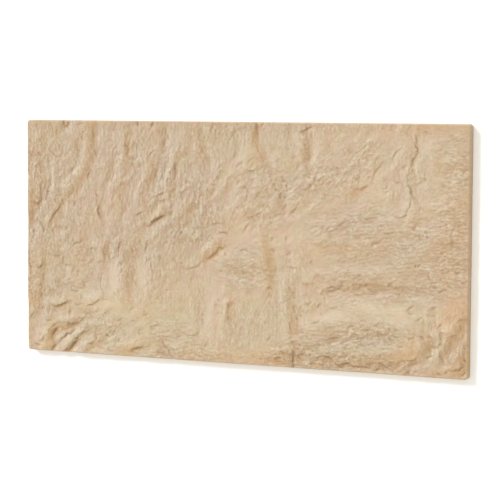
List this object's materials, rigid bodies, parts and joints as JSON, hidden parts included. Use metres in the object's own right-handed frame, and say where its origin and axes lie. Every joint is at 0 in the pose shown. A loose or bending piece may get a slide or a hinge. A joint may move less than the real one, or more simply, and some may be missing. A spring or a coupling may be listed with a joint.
{
  "type": "faux stone wall panel",
  "caption": "Flat-backed moulded wall panel with a split-rock relief front, straight butt edges and small rounded corners.",
  "frame": {"origin": "centre of the flat back, which is the bottom as the panel lies", "axes": "+X along the panel's length, +Y up its height as it hangs, +Z out of the wall, out of the rock face"},
  "size_m": [1.2, 0.6, 0.0248],
  "materials": {
    "sandstone_finish": "matt sand-coloured stone paint on moulded rigid foam"
  },
  "bodies": {
    "root": {"stone_panel": "sandstone_finish"}
  },
  "joints": []
}
